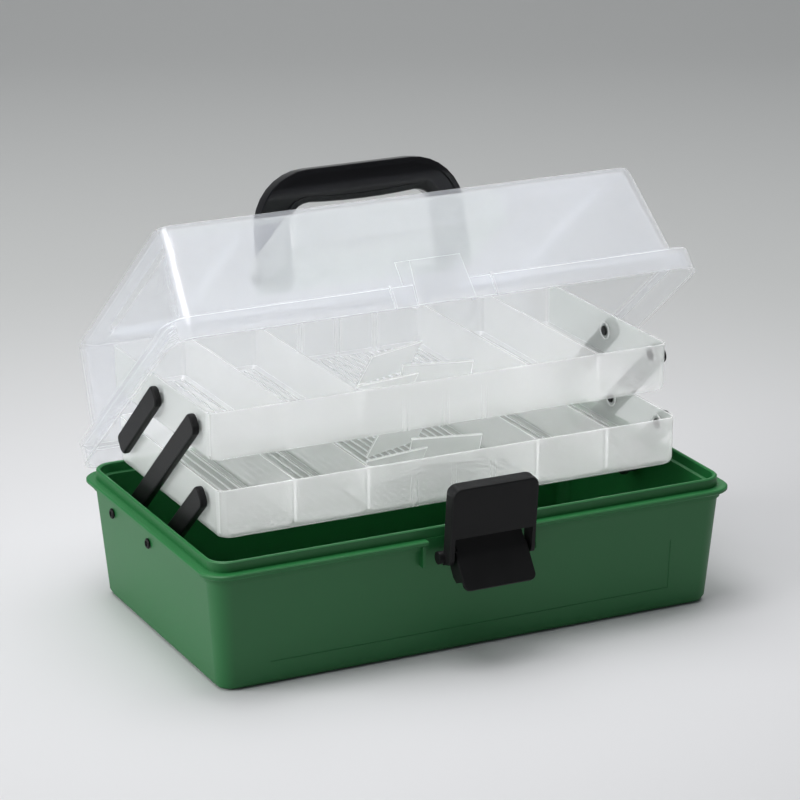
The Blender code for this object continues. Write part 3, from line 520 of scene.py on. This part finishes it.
# %% A tree of nodes
class Tree:
    """A Geometry Nodes tree with named inputs, built node by node."""

    def __init__(self, name, **inputs):
        self.group = bpy.data.node_groups.new(name, "GeometryNodeTree")
        face = self.group.interface
        face.new_socket("Geometry", in_out="INPUT", socket_type="NodeSocketGeometry")
        self.keys = {}
        for title, (kind, value) in inputs.items():
            socket = face.new_socket(title, in_out="INPUT", socket_type="NodeSocket" + kind)
            self.keys[title] = socket.identifier
            if value is not None:
                socket.default_value = value
        face.new_socket("Geometry", in_out="OUTPUT", socket_type="NodeSocketGeometry")
        self.source = self.group.nodes.new("NodeGroupInput")

    def node(self, kind, settings=None, sockets=None):
        made = self.group.nodes.new(kind)
        for name, value in (settings or {}).items():
            setattr(made, name, value)
        for key, value in (sockets or {}).items():
            if isinstance(value, bpy.types.NodeSocket):
                self.group.links.new(value, made.inputs[key])
            else:
                made.inputs[key].default_value = value
        return made.outputs[0]

    def given(self, title):
        return self.source.outputs[title]

    def finish(self, geometry):
        """Realize instances, set the material and hand the geometry out."""
        real = self.node("GeometryNodeRealizeInstances", None, {0: geometry})
        painted = self.node("GeometryNodeSetMaterial", None, {"Geometry": real,
                                                              "Material": self.given("Material")})
        result = self.group.nodes.new("NodeGroupOutput")
        self.group.links.new(painted, result.inputs[0])

    def run(self, name, mesh, **values):
        """Put the tree on a mesh with these inputs, and return the plain mesh piece that it makes."""
        piece = bpy.data.objects.new(name, mesh)
        bpy.context.scene.collection.objects.link(piece)
        modifier = piece.modifiers.new(self.group.name, "NODES")
        modifier.node_group = self.group
        for title, value in values.items():
            modifier[self.keys[title]] = value
        return as_plain_mesh(piece)


print("trays to detail:", [node for node in sorted(frame["nodes"]) if node.endswith("_tray")])

# %% Ribs
RIB_PITCH = 0.0052
RIB_FOOT = 0.0018
RIB_TOP = 0.0009
RIB_HEIGHT = 0.0006
RIB_END_GAP = 0.006
RIB_SIDE_GAP = 0.005
TRAY_SKIN = 0.0018
PARTITIONS = (0.058, 0.107)


def rib_tree():
    tree = Tree("floor_ribs", Pitch=("Float", RIB_PITCH), Length=("Float", 0.15), Foot=("Float", RIB_FOOT),
                Top=("Float", RIB_TOP), Height=("Float", RIB_HEIGHT), Material=("Material", None))
    strips = tree.node("GeometryNodeMeshToCurve", None, {"Mesh": tree.given("Geometry")})
    spots = tree.node("GeometryNodeResampleCurve", {"mode": "LENGTH"},
                      {"Curve": strips, "Length": tree.given("Pitch")})
    reach = tree.node("ShaderNodeCombineXYZ", None, {"Y": tree.given("Length")})
    spine = tree.node("GeometryNodeCurvePrimitiveLine", {"mode": "POINTS"},
                      {"Start": (0, 0, 0), "End": reach})
    section = tree.node("GeometryNodeCurvePrimitiveQuadrilateral", {"mode": "TRAPEZOID"},
                        {"Height": tree.given("Height"), "Bottom Width": tree.given("Foot"),
                         "Top Width": tree.given("Top"), "Offset": 0.0})
    rib = tree.node("GeometryNodeCurveToMesh", None, {"Curve": spine, "Profile Curve": section,
                                                      "Fill Caps": True})
    row = tree.node("GeometryNodeInstanceOnPoints", None, {"Points": spots, "Instance": rib})
    tree.finish(row)
    return tree


ribs = rib_tree()
for word in ("lower", "upper"):
    low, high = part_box(word + "_tray")
    floor = low[2] + TRAY_SKIN + RIB_HEIGHT / 2
    walls = [low[0], -PARTITIONS[1], -PARTITIONS[0], PARTITIONS[0], PARTITIONS[1], high[0]]
    strips = bpy.data.meshes.new(word + "_tray_ribs")
    points, edges = [], []
    for left, right in zip(walls, walls[1:]):
        edges.append((len(points), len(points) + 1))
        points += [(left + RIB_SIDE_GAP, low[1] + RIB_END_GAP, floor),
                   (right - RIB_SIDE_GAP, low[1] + RIB_END_GAP, floor)]
    strips.from_pydata(points, edges, [])
    piece = ribs.run(word + "_tray_ribs", strips, Length=high[1] - low[1] - 2 * RIB_END_GAP,
                     Material=clear_rib)
    seat(piece, word + "_tray")
    heights = [round(corner.co.z, 5) for corner in piece.data.vertices]
    print(piece.name, len(piece.data.polygons), "faces, from", min(heights), "to", max(heights))

# %% [markdown]
# ## Partition ends
# Where a partition meets the front wall, the plastic is much deeper along the line of sight, so a
# pale upright line shows through the wall. A thin strip inside the wall, in the lid's glowing edge finish,
# stands for each: a painted bright line.

# %% Strips
STRIP_WIDTH = 0.0016
STRIP_DEPTH = 0.0004
STRIP_FOOT = 0.004
STRIP_TOP_GAP = 0.001
STRIP_IN_WALL = 0.7 * TRAY_SKIN


def strip_tree():
    tree = Tree("partition_ends", Size=("Vector", (STRIP_WIDTH, STRIP_DEPTH, 0.02)),
                Material=("Material", None))
    strip = tree.node("GeometryNodeMeshCube", None, {"Size": tree.given("Size")})
    row = tree.node("GeometryNodeInstanceOnPoints", None,
                    {"Points": tree.given("Geometry"), "Instance": strip})
    tree.finish(row)
    return tree


strips = strip_tree()
for word in ("lower", "upper"):
    low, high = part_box(word + "_tray")
    foot, top = low[2] + STRIP_FOOT, high[2] - STRIP_TOP_GAP
    mesh = bpy.data.meshes.new(word + "_tray_strips")
    mesh.from_pydata([(side * x, low[1] + STRIP_IN_WALL, (foot + top) / 2) for side in (-1, 1)
                      for x in PARTITIONS], [], [])
    # The strips take the lid's edge finish, which glows: painted light.
    piece = strips.run(word + "_tray_strips", mesh, Size=(STRIP_WIDTH, STRIP_DEPTH, top - foot),
                       Material=painted_edge_light["clear_lid_plastic"])
    seat(piece, word + "_tray")
    print(piece.name, len(piece.data.polygons), "faces")

# %% [markdown]
# ## Rings round the tray rivets
# Where a rivet passes through a tray's end wall, the mould leaves a raised ring round it that
# stiffens the thin wall. Each ring is a small circle swept with a round section, stood on the inner
# face of the wall at every rivet.

# %% Rings
RING_RADIUS = 0.0056
RING_SECTION = 0.00055
RING_STEPS = 28
SECTION_STEPS = 8


def ring_tree():
    tree = Tree("rivet_rings", Radius=("Float", RING_RADIUS), Section=("Float", RING_SECTION),
                Material=("Material", None))
    circle, section = (tree.node("GeometryNodeCurvePrimitiveCircle", None,
                                 {"Resolution": steps, "Radius": tree.given(title)})
                       for steps, title in ((RING_STEPS, "Radius"), (SECTION_STEPS, "Section")))
    hoop = tree.node("GeometryNodeCurveToMesh", None, {"Curve": circle, "Profile Curve": section})
    hoops = tree.node("GeometryNodeInstanceOnPoints", None,
                      {"Points": tree.given("Geometry"), "Instance": hoop,
                       "Rotation": (0, math.pi / 2, 0)})
    tree.finish(hoops)
    return tree


rings = ring_tree()
for word in ("lower", "upper"):
    low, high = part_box(word + "_tray")
    spots = []
    for node in sorted(frame["nodes"]):
        if node.startswith(word + "_tray_rivet"):
            near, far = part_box(node)
            x = high[0] - TRAY_SKIN if near[0] > 0 else low[0] + TRAY_SKIN
            spots.append((x, (near[1] + far[1]) / 2, (near[2] + far[2]) / 2))
    mesh = bpy.data.meshes.new(word + "_tray_rings")
    mesh.from_pydata(spots, [], [])
    # The rings take the trays' whiter edge finish, which paints them as bright lines.
    piece = rings.run(word + "_tray_rings", mesh, Material=painted_edge_light[slot_of[word + "_tray"]])
    seat(piece, word + "_tray")
    print(piece.name, len(spots), "rings,", len(piece.data.polygons), "faces")

# %% [markdown]
# ## Caps over the handle's pivots
# The handle turns on two stubs in the end walls of its trough. The black ends of those stubs don't
# show through the lid of the real box, and how they are hidden can't be seen. Here each is put under
# a shallow clear cup, which is a guess. A cup is a bent line spun round the pivot's axis. Spinning can
# leave a shape inside out, so its points are merged and its normals are worked out afresh.

# %% Pivot caps
CAP_WALL = 0.0750
CAP_RADIUS = 0.0046
CAP_SKIN = 0.0008
CAP_DEPTH = 0.0022
CAP_STEPS = 24
CAP_SAME_POINT = 0.000005
CAP_SHARP_DEGREES = 40


def pivot_caps(pivot):
    inside, bore = CAP_DEPTH - CAP_SKIN, CAP_RADIUS - CAP_SKIN
    profile = [(CAP_DEPTH, 0), (CAP_DEPTH, CAP_RADIUS), (0, CAP_RADIUS), (0, bore), (inside, bore),
               (inside, 0)]
    solid = bmesh.new()
    for side in (-1, 1):
        corners = [solid.verts.new((side * (CAP_WALL + out), pivot.y, pivot.z + radius))
                   for out, radius in profile]
        line = [solid.edges.new(pair) for pair in zip(corners, corners[1:])]
        bmesh.ops.spin(solid, geom=corners + line, cent=pivot, axis=(1, 0, 0), angle=2 * math.pi,
                       steps=CAP_STEPS, use_duplicate=False)
    bmesh.ops.remove_doubles(solid, verts=solid.verts, dist=CAP_SAME_POINT)
    bmesh.ops.recalc_face_normals(solid, faces=solid.faces)
    mesh = bpy.data.meshes.new("handle_pivot_caps")
    solid.to_mesh(mesh)
    solid.free()
    mesh.shade_smooth()
    mesh.set_sharp_from_angle(angle=math.radians(CAP_SHARP_DEGREES))
    # The cups take the denser, greyer finish that paints shade on the trays' ends.
    mesh.materials.append(clear_dense_shade)
    piece = bpy.data.objects.new("handle_pivot_caps", mesh)
    bpy.context.scene.collection.objects.link(piece)
    return seat(piece, "lid_shell")


caps = pivot_caps(next(Vector(joint["pos_m"]) for joint in joints if joint["child"] == "handle"))
check = bmesh.new()
check.from_mesh(caps.data)
print(caps.name, len(caps.data.polygons), "faces, closed:", all(edge.is_manifold for edge in check.edges),
      "volume:", check.calc_volume(signed=True))
check.free()

# %% [markdown]
# ## The last update
# The dressed box must stay inside the box of the solids. At the end the view layer is brought up to date.

# %% Finish
bpy.context.view_layer.update()
